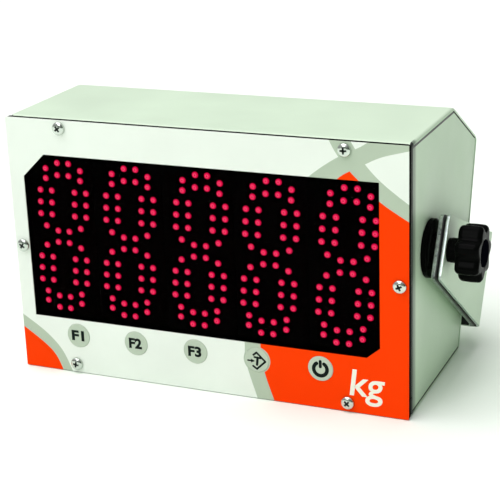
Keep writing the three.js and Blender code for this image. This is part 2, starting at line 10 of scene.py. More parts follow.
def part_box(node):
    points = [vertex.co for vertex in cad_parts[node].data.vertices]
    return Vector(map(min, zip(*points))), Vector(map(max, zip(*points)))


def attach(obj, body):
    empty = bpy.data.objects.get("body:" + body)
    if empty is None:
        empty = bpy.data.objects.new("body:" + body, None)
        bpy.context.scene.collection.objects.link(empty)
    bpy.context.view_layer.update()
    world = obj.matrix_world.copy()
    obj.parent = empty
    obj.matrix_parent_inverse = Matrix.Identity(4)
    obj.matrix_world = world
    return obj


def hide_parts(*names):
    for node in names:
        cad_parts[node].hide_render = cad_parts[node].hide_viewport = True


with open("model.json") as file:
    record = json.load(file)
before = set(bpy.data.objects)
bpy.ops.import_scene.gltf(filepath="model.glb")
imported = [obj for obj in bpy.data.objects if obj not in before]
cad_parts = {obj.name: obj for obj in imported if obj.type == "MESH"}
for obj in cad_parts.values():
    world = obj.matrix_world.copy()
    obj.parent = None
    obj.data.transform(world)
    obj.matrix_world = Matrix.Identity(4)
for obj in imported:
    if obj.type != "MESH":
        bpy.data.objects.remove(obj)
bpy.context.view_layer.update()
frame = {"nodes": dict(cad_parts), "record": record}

# The looks of a five-digit LED repeater display in a folded steel case, with a tilting U bracket.
# Sizes with _MM in their names, and all outlines of printed areas, are in millimetres.
MM = 0.001
SLOT_OF = {part["node"]: part["material_slot"] for part in frame["record"]["subparts"]}
BODY_OF = {
    node: body
    for body, nodes in frame["record"]["behaviour"]["bodies"].items()
    for node in nodes
}
KEYS = ("f1", "f2", "f3", "tare", "power")

# ---- Driving sizes ------------------------------------------------------------------------------
BRACKET_SHEET_MM = 4
ARM_EXTRA_MM = 0.9  # the bracket's arms look this much thicker, on their insides
ARM_WEAR_MM = (5.6, 5.2)  # the worn edges end here, as depths from the arms' outsides
LAYER_SEAM_MM = (0.66, 0.82)  # the painted shadow in the seam between its layers fades between these, each side
BEND_MM, BEND_SHADE = 8.2, 0.64  # depth back to which the painted shadow on the front bends of the sides reaches, and how strong it is
SEAM_MM = 1.0  # height of the painted shadow line between the case's top and its sides
WINDOW_CUTS_MM = {"top_left": (12, 11.6), "bottom_right": (6.5, 5.4)}
LENS_PLAY_MM = 0.2
SHEET_LOW_MM = 0.4  # the black panel shows as a line under the printed sheet, a painted shadow where the front meets the floor
SCREW_HOLE_MM = 1.9
KEY_MM = {"hole": 6.3, "face": 6.22, "soft": 0.45, "flange": 0.7, "plunger": 1.6, "stem": 0.9}
KEY_RING_MM = 0.5  # width of the grey ring round the tare key's hole
PRINT_MM = 0.03  # thickness of a printed legend
UNIT_MM = {"left": 72.5, "low": 4.6, "height": 17.5}

LAMP_MM = {"radius": 1.58, "dome": 0.75, "proud": 0.85, "sunk": 1.0}
MASK_GAP_MM = 0.3
MASK_PAST_MM = {"side": 1.0, "low": 1.0, "top": 0.8}  # how far the masks reach past the window
SLANT = 0.066  # how far the digits lean to the right, for each millimetre of height
# One digit's lamps, in the quarter above its middle and to the right of it, as (across, up).
DIGIT_QUARTER_MM = (
    (3.1, 37.5), (3.1, 31.4), (9.5, 34.4), (9.5, 29.4), (6.3, 23.3), (12.6, 23.3),
    (6.3, 17.2), (12.6, 17.2), (6.3, 11.1), (12.6, 11.1), (9.5, 5.05), (3.1, 2.95),
)

KNOB_LOBES = 7
KNOB_MM = {
    "radius": 13.7, "valley": 10.9, "hub": 5.8, "hub_length": 4.4, "edge": 2.4, "bore": 2.6,
    "bore_end": 5.2,  # how far the bore stops short of the outer face
}
CAP_MM = {"radius": 6.3, "recess": 2.2, "play": 0.15, "edge": 0.7, "dome": 0.2}
SPACER_MM = {"radius": 13.9, "rim": 2.8, "neck": 6.6, "bore": 2.8}
GLAND_RIBS = 24
GLAND_MM = {
    "radius": 8.3, "end": 5.3, "hole": 3.4, "thread": 6.35, "rib": 0.45, "dome": 4.2, "wall": 5.0,
}
SCREW_MM = {
    "radius": 3.2, "head": 1.9, "flat": 0.35, "shank": 1.5,
    "cross": 2.0, "cross_width": 1.0, "cross_depth": 1.4,
}

# ---- Materials ----------------------------------------------------------------------------------


class Finish:
    """A Principled material, with short calls for the nodes that the finishes share."""

    def __init__(self, name, **settings):
        self.material = bpy.data.materials.new(name)
        self.material.use_nodes = True
        self.tree = self.material.node_tree
        self.shader = self.tree.nodes["Principled BSDF"]
        for socket, value in settings.items():
            self.shader.inputs[socket.replace("_", " ")].default_value = value
        coordinates = self.tree.nodes.new("ShaderNodeTexCoord")
        self.place = coordinates.outputs["Object"]
        self.facing = coordinates.outputs["Normal"]

    def node(self, kind, inputs=(), **settings):
        made = self.tree.nodes.new(kind)
        for setting, value in settings.items():
            setattr(made, setting, value)
        for socket, value in dict(inputs).items():
            if isinstance(value, bpy.types.NodeSocket):
                self.tree.links.new(value, made.inputs[socket])
            else:
                made.inputs[socket].default_value = value
        return made

    def noise(self, per_metre, detail=2.0):
        inputs = {"Vector": self.place, "Scale": per_metre, "Detail": detail}
        return self.node("ShaderNodeTexNoise", inputs).outputs["Fac"]

    def math(self, operation, a, b=0.0):
        return self.node("ShaderNodeMath", {0: a, 1: b}, operation=operation).outputs[0]

    def split(self, vector):
        return self.node("ShaderNodeSeparateXYZ", {"Vector": vector}).outputs

    def away_from(self, point):
        """The vector from a point of the object to the place that is shaded."""
        inputs = {0: self.place, 1: point}
        return self.node("ShaderNodeVectorMath", inputs, operation="SUBTRACT").outputs["Vector"]

    def dot(self, a, b):
        inputs = {0: a, 1: b}
        return self.node("ShaderNodeVectorMath", inputs, operation="DOT_PRODUCT").outputs["Value"]

    def span(self, value, low, high, start=0.3, end=0.7):
        """Runs from low to high while the value runs from start to end, and is level outside."""
        inputs = {
            "Value": value, "From Min": start, "From Max": end, "To Min": low, "To Max": high,
        }
        return self.node("ShaderNodeMapRange", inputs).outputs["Result"]

    def mix(self, factor, a, b):
        made = self.node("ShaderNodeMix", data_type="RGBA")
        for socket, value in ((made.inputs[0], factor), (made.inputs[6], a), (made.inputs[7], b)):
            if isinstance(value, bpy.types.NodeSocket):
                self.tree.links.new(value, socket)
            elif isinstance(value, tuple):
                socket.default_value = (*value, 1.0)
            else:
                socket.default_value = value
        return made.outputs[2]

    def give(self, socket, value):
        self.tree.links.new(value, self.shader.inputs[socket])

    def bump(self, *heights):
        """Each height is (value, strength, distance in millimetres)."""
        normal = None
        for value, strength, distance in heights:
            inputs = {"Height": value, "Strength": strength, "Distance": distance * MM}
            if normal is not None:
                inputs["Normal"] = normal
            normal = self.node("ShaderNodeBump", inputs).outputs["Normal"]
        self.give("Normal", normal)


def shade(color, share):
    return tuple(channel * share for channel in color)


PAINT = (0.575, 0.735, 0.545)


def paint_tone(finish):
    """The paint's colour, with slight clouds of a lighter and a darker tone."""
    cloud = finish.span(finish.noise(16, 3), 0, 1)
    return finish.mix(cloud, shade(PAINT, 0.94), shade(PAINT, 1.04))


def painted_case(name, seam):
    """Pale grey-green powder coat: a faint orange peel over a very fine grain. The seam mask,
    given as a function of the finish, is 1 where shade falls in the narrow gaps and on the bends
    behind the front panel, and there shade is painted into the coat as near black."""
    finish = Finish(name, Metallic=0.0)
    grain = finish.noise(2600, 1)
    fleck = finish.span(grain, 0, 0.30, 0.55, 0.75)
    coat = finish.mix(fleck, paint_tone(finish), shade(PAINT, 0.80))
    # Painted shade: near black where the seam mask is 1.
    finish.give("Base Color", finish.mix(seam(finish), coat, (0.01, 0.014, 0.011)))
    finish.give("Roughness", finish.span(finish.noise(45, 4), 0.36, 0.48))
    finish.bump((finish.noise(750, 2), 0.16, 0.06), (grain, 0.10, 0.02))
    return finish.material


def painted_bend_shadow(finish, front):
    """A painted shadow cast by the front panel's edge: 1 on the narrow bends behind that edge,
    fading out further back.
    """
    place = finish.split(finish.place)
    facing = finish.split(finish.facing)
    round_part = finish.span(place["Y"], 1, 0, front + 2.8 * MM, front + 3.3 * MM)
    flat_part = finish.span(place["Y"], BEND_SHADE, 0, front + 5.0 * MM, front + BEND_MM * MM)
    sideways = finish.math("GREATER_THAN", finish.math("ABSOLUTE", facing["X"]), 0.2)
    return finish.math("MULTIPLY", finish.math("MAXIMUM", round_part, flat_part), sideways)


def wrap_seam_shade(finish):
    """1 where shade is painted: on the level walls round the side plates, in the shade of the
    narrow gaps, and on the bends.
    """
    lo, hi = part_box("case_wrap")
    outward = finish.dot(finish.facing, finish.away_from((lo + hi) / 2))
    facing = finish.split(finish.facing)
    lying = finish.math("MULTIPLY", finish.math("ABSOLUTE", facing["Y"]), 1.5)
    level = finish.math("GREATER_THAN", finish.math("ABSOLUTE", facing["Z"]), lying)
    walls = finish.math("MULTIPLY", finish.math("LESS_THAN", outward, 0.0), level)
    return finish.math("MAXIMUM", walls, painted_bend_shadow(finish, lo.y))


def plate_seam_shade(finish):
    """1 where shade is painted: along the top of a side plate and on its upward rim, in the seam's
    shadow, and on its front bend.
    """
    lo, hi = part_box("right_side_plate")
    facing = finish.split(finish.facing)
    rim = finish.math("LESS_THAN", finish.math("ABSOLUTE", facing["X"]), 0.96)
    upward = finish.math("GREATER_THAN", facing["Z"], finish.math("ABSOLUTE", facing["Y"]))
    above = finish.math("GREATER_THAN", finish.split(finish.place)["Z"], hi.z - SEAM_MM * MM)
    seam = finish.math("MAXIMUM", above, finish.math("MULTIPLY", rim, upward))
    return finish.math("MAXIMUM", seam, painted_bend_shadow(finish, lo.y))


def arm_wear(finish, across, outside):
    """1 on the worn edges of the arms' sheet, in patches. Across is the distance from the middle
    of the bracket, and outside is what it is on the arms' outer faces."""
    start, end = (outside - depth * MM for depth in ARM_WEAR_MM)
    on_arm = finish.span(across, 0, 1, start, end)
    sideways = finish.math("ABSOLUTE", finish.split(finish.facing)["X"])
    edge = finish.math("MULTIPLY", on_arm, finish.span(sideways, 1, 0, 0.35, 0.6))
    return finish.math("MULTIPLY", edge, finish.span(finish.noise(420, 3), 0.55, 1.0))


def bracket_painted_shade(finish, across, arm_middle):
    """1 where shade is painted: in the seam between the two layers of sheet, and on the inside of
    the back plate, which lies in deep shadow.
    """
    wall = next(mount for mount in frame["record"]["mounts"] if mount["name"] == "wall_plate")
    deep = finish.dot(finish.away_from(wall["pos_m"]), wall["axis"])
    in_arm = finish.math("ABSOLUTE", finish.math("SUBTRACT", across, arm_middle))
    in_wall = finish.math("ABSOLUTE", finish.math("ADD", deep, BRACKET_SHEET_MM / 2 * MM))
    from_seam = finish.math("MINIMUM", in_arm, in_wall)
    seam = finish.span(from_seam, 1, 0, LAYER_SEAM_MM[0] * MM, LAYER_SEAM_MM[1] * MM)
    on_plate = finish.math("GREATER_THAN", deep, -(BRACKET_SHEET_MM + 1) * MM)
    inward = finish.math("LESS_THAN", finish.dot(finish.facing, wall["axis"]), -0.7)
    return finish.math("MAXIMUM", seam, finish.math("MULTIPLY", inward, on_plate))


def bracket_paint():
    """The same coat on the bracket, rubbed through to bright metal on the edges of its outer layer
    and to dull metal on those of its inner layer. Shade is painted near black in the seam between
    the two layers and on the inside of the back plate."""
    finish = Finish("bracket_paint")
    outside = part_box("tilt_bracket")[1].x
    across = finish.math("ABSOLUTE", finish.split(finish.place)["X"])
    arm_middle = outside - (BRACKET_SHEET_MM + ARM_EXTRA_MM) / 2 * MM
    worn = arm_wear(finish, across, outside)
    dark = bracket_painted_shade(finish, across, arm_middle)
    outer_layer = finish.math("GREATER_THAN", across, arm_middle)
    tarnish = finish.span(finish.noise(1100, 3), 0, 1)
    dull = finish.mix(tarnish, (0.015, 0.02, 0.02), (0.30, 0.34, 0.34))
    metal = finish.mix(outer_layer, dull, (0.50, 0.55, 0.58))
    bare = finish.mix(worn, paint_tone(finish), metal)
    # Painted shade: near black in the layer seam and on the back plate's inside.
    finish.give("Base Color", finish.mix(dark, bare, (0.006, 0.008, 0.007)))
    finish.give("Metallic", finish.math("MAXIMUM", finish.math("SUBTRACT", worn, dark), 0))
    bright = finish.math("MULTIPLY", worn, outer_layer)
    finish.give("Roughness", finish.span(bright, 0.45, 0.27, 0, 1))
    finish.bump((finish.noise(750, 2), 0.16, 0.06), (finish.noise(2600, 1), 0.15, 0.03))
    return finish.material


def print_on_polyester(name, ink):
    """Ink under a satin polyester film: fine embossed tooth, and a very slight cloudiness."""
    finish = Finish(name, Specular_IOR_Level=0.03)
    cloud = finish.span(finish.noise(30, 3), 0, 1)
    finish.give("Base Color", finish.mix(cloud, shade(ink, 0.965), shade(ink, 1.015)))
    finish.give("Roughness", finish.span(finish.noise(90, 4), 0.36, 0.46))
    finish.bump((finish.noise(3200, 1), 0.08, 0.02))
    return finish.material


def plain_finish(name, color, rough, metal=0.0, grain=1500, depth=0.03, strength=0.2, **settings):
    """A moulded or rolled surface: two close tones, uneven gloss and a fine grain."""
    finish = Finish(name, Metallic=metal, **settings)
    cloud = finish.span(finish.noise(60, 4), 0, 1)
    finish.give("Base Color", finish.mix(cloud, shade(color, 0.88), shade(color, 1.08)))
    finish.give("Roughness", finish.span(finish.noise(140, 3), rough - 0.05, rough + 0.05))
    finish.bump((finish.noise(grain, 2), strength, depth))
    return finish.material


def smoked_window():
    """Dark tinted acrylic with a non-glare face, so it hardly mirrors the room."""
    finish = Finish(
        "smoked_window", Transmission_Weight=1.0, IOR=1.03, Specular_IOR_Level=0.1,
        Base_Color=(0.62, 0.50, 0.52, 1.0),
    )
    finish.give("Roughness", finish.span(finish.noise(60, 3), 0.0, 0.03))
    finish.bump((finish.noise(1800, 2), 0.015, 0.01))
    return finish.material


def lit_lamp():
    """A lit red lamp: the bright die shows in the middle, inside the darker ring of its cup."""
    finish = Finish("red_led", Roughness=0.3, Emission_Strength=1.5, Specular_IOR_Level=0.02)
    spread = finish.node("ShaderNodeAttribute", attribute_name="spread").outputs["Fac"]
    speck = finish.math("MULTIPLY", finish.math("SUBTRACT", finish.noise(1600, 1), 0.5), 0.10)
    ramp = finish.node("ShaderNodeValToRGB", {"Fac": finish.math("ADD", spread, speck)})
    stops = (
        (0.00, (0.62, 0.001, 0.03)),
        (0.22, (0.62, 0.001, 0.03)),
        (0.42, (1.00, 0.150, 0.32)),
        (0.60, (0.80, 0.004, 0.08)),
        (0.86, (0.78, 0.003, 0.07)),
        (1.00, (0.25, 0.000, 0.02)),
    )
    elements = ramp.color_ramp.elements
    while len(elements) < len(stops):
        elements.new(0.5)
    for element, (at, color) in zip(elements, stops):
        element.position = at
        element.color = (*color, 1.0)
    finish.give("Emission Color", ramp.outputs["Color"])
    finish.give("Base Color", finish.mix(spread, (0.16, 0.002, 0.012), (0.05, 0.001, 0.004)))
    return finish.material


def circuit_board():
    """Green solder mask with darker tracks showing through it and small bright pads."""
    finish = Finish("circuit_board", Specular_IOR_Level=0.5)
    tracks = finish.node(
        "ShaderNodeTexBrick",
        {"Vector": finish.place, "Scale": 260.0, "Mortar Size": 0.05},
    )
    pads = finish.node("ShaderNodeTexVoronoi", {"Vector": finish.place, "Scale": 330.0})
    pad = finish.span(pads.outputs["Distance"], 1, 0, 0.14, 0.18)
    mask = finish.mix(tracks.outputs["Fac"], (0.010, 0.075, 0.030), (0.016, 0.13, 0.05))
    finish.give("Base Color", finish.mix(pad, mask, (0.70, 0.68, 0.60)))
    finish.give("Metallic", pad)
    finish.give("Roughness", finish.span(finish.noise(200, 3), 0.25, 0.4))
    finish.bump((tracks.outputs["Fac"], 0.3, 0.03))
    return finish.material


def transformer_steel():
    """Stacked and varnished laminations, seen as fine lines along the core."""
    finish = Finish("transformer_steel", Metallic=0.7)
    lines = finish.node(
        "ShaderNodeTexWave",
        {"Vector": finish.place, "Scale": 320.0, "Distortion": 0.4},
        bands_direction="Y",
    ).outputs["Fac"]
    finish.give("Base Color", finish.mix(lines, (0.05, 0.052, 0.055), (0.17, 0.175, 0.18)))
    finish.give("Roughness", finish.span(finish.noise(300, 3), 0.4, 0.65))
    finish.bump((lines, 0.5, 0.08))
    return finish.material


WHITE_INK = (0.80, 0.87, 0.785)
GREY_INK = (0.45, 0.545, 0.42)
ORANGE_INK = (0.95, 0.048, 0.0)

LOOKS = {
    "painted_case": painted_case("painted_case", wrap_seam_shade),
    "overlay_print": print_on_polyester("overlay_white", WHITE_INK),
    "black_panel": plain_finish(
        "black_panel", (0.0015, 0.0018, 0.0016), 0.42, grain=1800, Specular_IOR_Level=0.0,
    ),
    "black_rubber": plain_finish(
        "black_rubber", (0.002, 0.0025, 0.002), 0.85, grain=900, Specular_IOR_Level=0.0,
    ),
    "smoked_window": smoked_window(),
    "key_face": print_on_polyester("key_face", (0.48, 0.57, 0.45)),
    "zinc_steel": plain_finish(
        "zinc_steel", (0.60, 0.66, 0.60), 0.20, metal=1.0, grain=2200, strength=0.12,
    ),
    "red_led": lit_lamp(),
    "circuit_board": circuit_board(),
    "green_plastic": plain_finish("green_plastic", (0.012, 0.17, 0.045), 0.45),
    "transformer_steel": transformer_steel(),
    "brass": plain_finish("brass", (0.60, 0.42, 0.15), 0.32, metal=1.0, strength=0.1),
    "black_plastic": plain_finish(
        "black_plastic", (0.0018, 0.0021, 0.0019), 0.2, grain=1300, depth=0.02, strength=0.08,
        Specular_IOR_Level=0.014,
    ),
    "cap_plastic": plain_finish(
        "cap_plastic", (0.002, 0.002, 0.004), 0.30, grain=700, strength=0.05,
        Specular_IOR_Level=0.0,
    ),
}
GREY_PRINT = print_on_polyester("overlay_grey", GREY_INK)
ORANGE_PRINT = print_on_polyester("overlay_orange", ORANGE_INK)
BLACK_INK = print_on_polyester("black_ink", (0.007, 0.012, 0.010))
CREAM_INK = print_on_polyester("cream_ink", (0.86, 0.88, 0.74))
BRACKET_PAINT = bracket_paint()
# The side plates' coat, with shade painted along their seams and front bends.
SIDE_PAINT = painted_case("side_paint", plate_seam_shade)
# Painted shade for the screws' cross recesses: darker than the zinc they are cut in.
RECESS_SHADE = plain_finish("screw_recess_shade", (0.025, 0.035, 0.03), 0.35, metal=0.6)
BLACK_BOARD = plain_finish(
    "black_board", (0.0005, 0.0005, 0.0005), 0.85, grain=1200, Specular_IOR_Level=0.01,
)

# ---- Pieces -------------------------------------------------------------------------------------


def piece(name, bm, body, looks, replaced=(), smooth=35):
    """Makes a mesh piece that rides on a body. Edges turn smoothly up to an angle in degrees."""
    mesh = bpy.data.meshes.new(name)
    bm.to_mesh(mesh)
    bm.free()
    for look in looks:
        mesh.materials.append(look)
    mesh.polygons.foreach_set("use_smooth", [True] * len(mesh.polygons))
    mesh.set_sharp_from_angle(angle=math.radians(smooth))
    obj = bpy.data.objects.new(name, mesh)
    bpy.context.scene.collection.objects.link(obj)
    obj.modifiers.new("flat faces stay flat", "WEIGHTED_NORMAL").keep_sharp = True
    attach(obj, body)
    if replaced:
        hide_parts(*replaced)
    return obj


def rounded_copy(node, edge_mm, look=None):
    """The node's own shape with its flat faces joined up and its sharp edges rounded."""
    bm = bmesh.new()
    bm.from_mesh(frame["nodes"][node].data)
    bmesh.ops.remove_doubles(bm, verts=bm.verts, dist=1e-6)
    bmesh.ops.dissolve_limit(
        bm, angle_limit=math.radians(1), verts=bm.verts[:], edges=bm.edges[:],
    )
    bmesh.ops.triangulate(bm, faces=[face for face in bm.faces if len(face.verts) > 4])
    sharp = math.radians(25)
    edges = [e for e in bm.edges if e.is_manifold and e.calc_face_angle() > sharp]
    bmesh.ops.bevel(
        bm, geom=edges, offset=edge_mm * MM, segments=2, profile=0.5, affect="EDGES",
        clamp_overlap=False,
    )
    slot = SLOT_OF[node]
    return piece(node + "_fine", bm, BODY_OF[node], [look or LOOKS[slot]], [node], 50)


def thicken_arms(bracket):
    """Moves the insides of the bracket's arms towards the case."""
    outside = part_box("tilt_bracket")[1].x
    nearest = outside - (BRACKET_SHEET_MM - 1) * MM
    furthest = outside - (BRACKET_SHEET_MM + 1) * MM
    for vertex in bracket.data.vertices:
        if furthest < abs(vertex.co.x) < nearest:
            vertex.co.x -= math.copysign(ARM_EXTRA_MM * MM, vertex.co.x)


def middle(node):
    lo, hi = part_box(node)
    return (lo + hi) / 2


# ---- Turned shapes ------------------------------------------------------------------------------
QUARTER = [math.radians(15 * step) for step in range(7)]  # angles of a rounded edge


def full_turn(steps):
    return [2 * math.pi * i / steps for i in range(steps)]


def join_rings(bm, rings, steps):
    """Faces between neighbouring rings of vertices, each a full ring or one point on the axis."""
    for one, two in zip(rings, rings[1:]):
        for i in range(steps):
            j = (i + 1) % steps
            corners = (one[i % len(one)], one[j % len(one)], two[j % len(two)], two[i % len(two)])
            bm.faces.new(list(dict.fromkeys(corners)))


def turned(profile, steps=64):
    """A closed turned shape about the Y axis at the origin, from (radius, Y) pairs in metres that
    start and end on the axis."""
    bm = bmesh.new()
    rings = []
    for radius, y in profile:
        angles = full_turn(steps) if radius else [0]
        corners = [(radius * math.cos(a), y, radius * math.sin(a)) for a in angles]
        rings.append([bm.verts.new(corner) for corner in corners])
    join_rings(bm, rings, steps)
    bmesh.ops.recalc_face_normals(bm, faces=bm.faces[:])
    return bm


def swept_rings(rings, steps, direction, start, axis):
    """A closed shape about an axis along X, from rings of (distance along it, radii all round) in
    millimetres, where radii of 0 are a point on the axis."""
    bm = bmesh.new()
    made = []
    for along, radii in rings:
        x = start + direction * along * MM
        angles = full_turn(steps) if radii else [0]
        made.append([
            bm.verts.new((x, axis.y + r * MM * math.cos(a), axis.z + r * MM * math.sin(a)))
            for r, a in zip(radii or [0], angles)
        ])
    join_rings(bm, made, steps)
    bmesh.ops.recalc_face_normals(bm, faces=bm.faces[:])
    return bm


def round_rings(profile, steps):
    """Rings for swept_rings, from (distance, radius) pairs."""
    return [(along, [radius] * steps if radius else 0) for along, radius in profile]


# ---- Flat printed areas -------------------------------------------------------------------------


def circle(x, z, radius, steps=48):
    return [(x + radius * math.cos(a), z + radius * math.sin(a)) for a in full_turn(steps)]


def through(points):
    """A smooth line through the points."""
    steps = 8
    ends = [points[0], *points, points[-1]]
    line = []
    for i in range(len(points) - 1):
        a, b, c, d = (Vector(p) for p in ends[i : i + 4])
        for k in range(steps):
            t = k / steps
            line.append(tuple(
                0.5 * (2 * b + (c - a) * t + (2 * a - 5 * b + 4 * c - d) * t**2
                       + (3 * b - a - 3 * c + d) * t**3)
            ))
    return [*line, points[-1]]


def stroke(points, width):
    """A line of some width with round joints, as polygons that overlap."""
    half = width / 2
    shapes = [circle(x, z, half, 20) for x, z in points]
    for a, b in zip(points, points[1:]):
        along = (Vector(b) - Vector(a)).normalized() * half
        side = Vector((-along.y, along.x))
        corners = (Vector(a) - side, Vector(b) - side, Vector(b) + side, Vector(a) + side)
        shapes.append([tuple(corner) for corner in corners])
    return shapes


def anticlockwise(polygon):
    sides = zip(polygon, polygon[1:] + polygon[:1])
    twice_area = sum(a[0] * b[1] - b[0] * a[1] for a, b in sides)
    return polygon if twice_area > 0 else polygon[::-1]


def flat_sheet(areas, holes, front, depth_mm, outline=None):
    """A sheet that faces -Y, from polygons in X and Z. Areas is a list of (material, polygon),
    where an earlier one lies over a later one. What is in a hole, or out of the outline, is left
    open."""
    polygons = [anticlockwise(polygon) for _, polygon in areas]
    polygons += [anticlockwise(hole) for hole in holes]
    if outline is not None:
        polygons.append(anticlockwise(outline))
    points, faces = [], []
    for polygon in polygons:
        faces.append(list(range(len(points), len(points) + len(polygon))))
        points.extend(Vector(p) for p in polygon)
    placed, _, triangles, _, _, inside = delaunay_2d_cdt(points, [], faces, 1, 1e-5)
    bm = bmesh.new()
    corners = [bm.verts.new((p.x * MM, front, p.y * MM)) for p in placed]
    for triangle, owners in zip(triangles, inside):
        if any(len(areas) <= owner < len(areas) + len(holes) for owner in owners):
            continue
        if outline is not None and len(polygons) - 1 not in owners:
            continue
        printed = [owner for owner in owners if owner < len(areas)]
        if printed:
            face = bm.faces.new([corners[i] for i in triangle])
            face.material_index = areas[min(printed)][0]
    bmesh.ops.delete(bm, geom=[v for v in bm.verts if not v.link_faces], context="VERTS")
    made = bmesh.ops.extrude_face_region(bm, geom=bm.faces[:], use_keep_orig=True)["geom"]
    back = [v for v in made if isinstance(v, bmesh.types.BMVert)]
    bmesh.ops.translate(bm, verts=back, vec=(0, depth_mm * MM, 0))
    bmesh.ops.recalc_face_normals(bm, faces=bm.faces[:])
    return bm


def window_outline():
    """The window with its cut corners, and a little play round it."""
    lo, hi = (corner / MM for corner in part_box("window_lens"))
    left, right = lo.x - LENS_PLAY_MM, hi.x + LENS_PLAY_MM
    low, high = lo.z - LENS_PLAY_MM, hi.z + LENS_PLAY_MM
    cut_x, cut_z = WINDOW_CUTS_MM["top_left"]
    cut_right, cut_low = WINDOW_CUTS_MM["bottom_right"]
    return [
        (left, low), (right - cut_right, low), (right, low + cut_low), (right, high),
        (left + cut_x, high), (left, high - cut_z),
    ]


def printed_areas(edge, top):
    """Grey bands and orange fields, as (material, polygon). The sheet's outline trims what is
    drawn past its edges."""
    past = 4
    tare = middle("key_tare") / MM
    band_right = through([(28.4, 30), (28.6, 26), (30.2, 14), (34.8, 0), (36.4, -past)])
    field = [
        (edge + past, -past), (edge + past, 93), (edge, 95.6),
        *reversed(through([(73.9, 116.6), (78.4, 112.2), (87.8, 103.6), (edge, 95.6)])),
        *through([(73.9, 116.6), (67.8, 112.4), (48, 82), (32, 48), (28.4, 30)]),
        *band_right,
    ]
    wedge = [
        *through([(-edge - past, 24), (-edge, 21.6), (-89.3, 13.7), (-83.5, 7.9), (-79.8, 0)]),
        (-78, -past), (-edge - past, -past),
    ]
    wedge_band = [
        *through([(-edge - past, 30.4), (-edge, 28.2), (-88.1, 19.8), (-79.6, 11), (-74.4, 0)]),
        (-73, -past), (-edge - past, -past),
    ]
    low_band = [
        *through([(20.3, 34), (20.4, 27.5), (20.8, 17.9), (26.2, 0), (27.6, -past)]),
        *reversed(band_right),
    ]
    rising_band = [
        *through([(46, 103), (54.5, 112.5), (66.5, 121.4), (80.5, 128.9), (86, top + past)]),
        (edge + past, top + past), (edge + past, 128.4),
        *reversed(through([(73.9, 116.6), (81, 120.3), (88.9, 124.1), (edge, 127.6)])),
        *reversed(through([(56, 100), (67.8, 112.4), (73.9, 116.6)])),
    ]
    falling_band = [
        *through([(62.8, top + past), (65.1, 128.7), (68.5, 123.1), (73.9, 116.6), (78.4, 112.2),
                  (87.8, 103.6), (edge, 95.6), (edge + past, 93.6)]),
        *reversed(through([(72, top + past), (74.6, top), (81, 120.3), (88.9, 112.3),
                           (edge, 103.5), (edge + past, 101.5)])),
    ]
    return [
        (1, circle(tare.x, tare.z, KEY_MM["hole"] + KEY_RING_MM)),
        (1, low_band), (1, rising_band), (1, falling_band), (2, wedge), (1, wedge_band),
        (2, field),
    ]


def front_overlay():
    """The printed sheet: white, with grey bands and orange fields that the window cuts across."""
    lo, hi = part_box("front_overlay")
    edge, top = hi.x / MM, hi.z / MM
    # The sheet stops short of the bottom so the black panel shows below it, a painted shadow line.
    sheet = [(-edge, SHEET_LOW_MM), (edge, SHEET_LOW_MM), (edge, top), (-edge, top)]
    areas = [*printed_areas(edge, top), (0, sheet)]
    holes = [window_outline()]
    for key in KEYS:
        centre = middle("key_" + key) / MM
        holes.append(circle(centre.x, centre.z, KEY_MM["hole"]))
    for number in range(1, 7):
        centre = middle(f"panel_screw_{number}") / MM
        holes.append(circle(centre.x, centre.z, SCREW_HOLE_MM, 24))
    bm = flat_sheet(areas, holes, lo.y, (hi.y - lo.y) / MM, sheet)
    looks = [LOOKS["overlay_print"], GREY_PRINT, ORANGE_PRINT]
    piece("printed_overlay", bm, "housing", looks, ["front_overlay"])


def lettering(name, text, left, low, size_mm, front, body, look, bold=0.02, lean=0.0):
    """Plain block lettering, printed as a thin raised layer that faces -Y. Its size is (width,
    height), and a width of None keeps the proportions of the letters."""
    curve = bpy.data.curves.new(name, "FONT")
    curve.body = text
    curve.size = 1.0
    curve.shear = lean
    curve.offset = bold
    curve.extrude = 0.5
    curve.resolution_u = 6
    draft = bpy.data.objects.new(name + "_draft", curve)
    bpy.context.scene.collection.objects.link(draft)
    graph = bpy.context.evaluated_depsgraph_get()
    shape = bpy.data.meshes.new_from_object(draft.evaluated_get(graph))
    bpy.data.objects.remove(draft)
    bm = bmesh.new()
    bm.from_mesh(shape)
    bmesh.ops.remove_doubles(bm, verts=bm.verts, dist=1e-5)
    xs = [v.co.x for v in bm.verts]
    ys = [v.co.y for v in bm.verts]
    width_mm, height_mm = size_mm
    tall = height_mm / (max(ys) - min(ys))
    wide = width_mm / (max(xs) - min(xs)) if width_mm else tall
    for v in bm.verts:
        x, y, z = v.co
        v.co = (
            (left + (x - min(xs)) * wide) * MM,
            front - (z + 0.5) * PRINT_MM * MM,
            (low + (y - min(ys)) * tall) * MM,
        )
    bmesh.ops.recalc_face_normals(bm, faces=bm.faces[:])
    return piece(name, bm, body, [look])


# ---- Keys ---------------------------------------------------------------------------------------


def key_face(key):
    """A key: a softly rounded face that fills its hole, a retaining flange and a plunger."""
    node = "key_" + key
    lo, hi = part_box(node)
    centre = (lo + hi) / 2
    flange = (hi.x - lo.x) / 2
    size = {part: measure * MM for part, measure in KEY_MM.items()}
    face, soft, plunger = size["face"], size["soft"], size["plunger"]
    back = hi.y - size["stem"]
    behind_face = back - size["flange"]
    rim = [
        (face - soft + soft * math.sin(a), lo.y + soft - soft * math.cos(a)) for a in QUARTER
    ]
    profile = [
        (0, lo.y), *rim, (face, behind_face), (flange, behind_face), (flange, back),
        (plunger, back), (plunger, hi.y), (0, hi.y),
    ]
    bm = turned(profile)
    bmesh.ops.translate(bm, verts=bm.verts, vec=(centre.x, 0, centre.z))
    piece(node + "_face", bm, node, [LOOKS["key_face"]], [node], 45)
    return centre / MM, lo.y


def ink_shape(name, shapes, front, body):
    bm = flat_sheet([(0, shape) for shape in shapes], [], front - PRINT_MM * MM, PRINT_MM)
    piece(name, bm, body, [BLACK_INK])


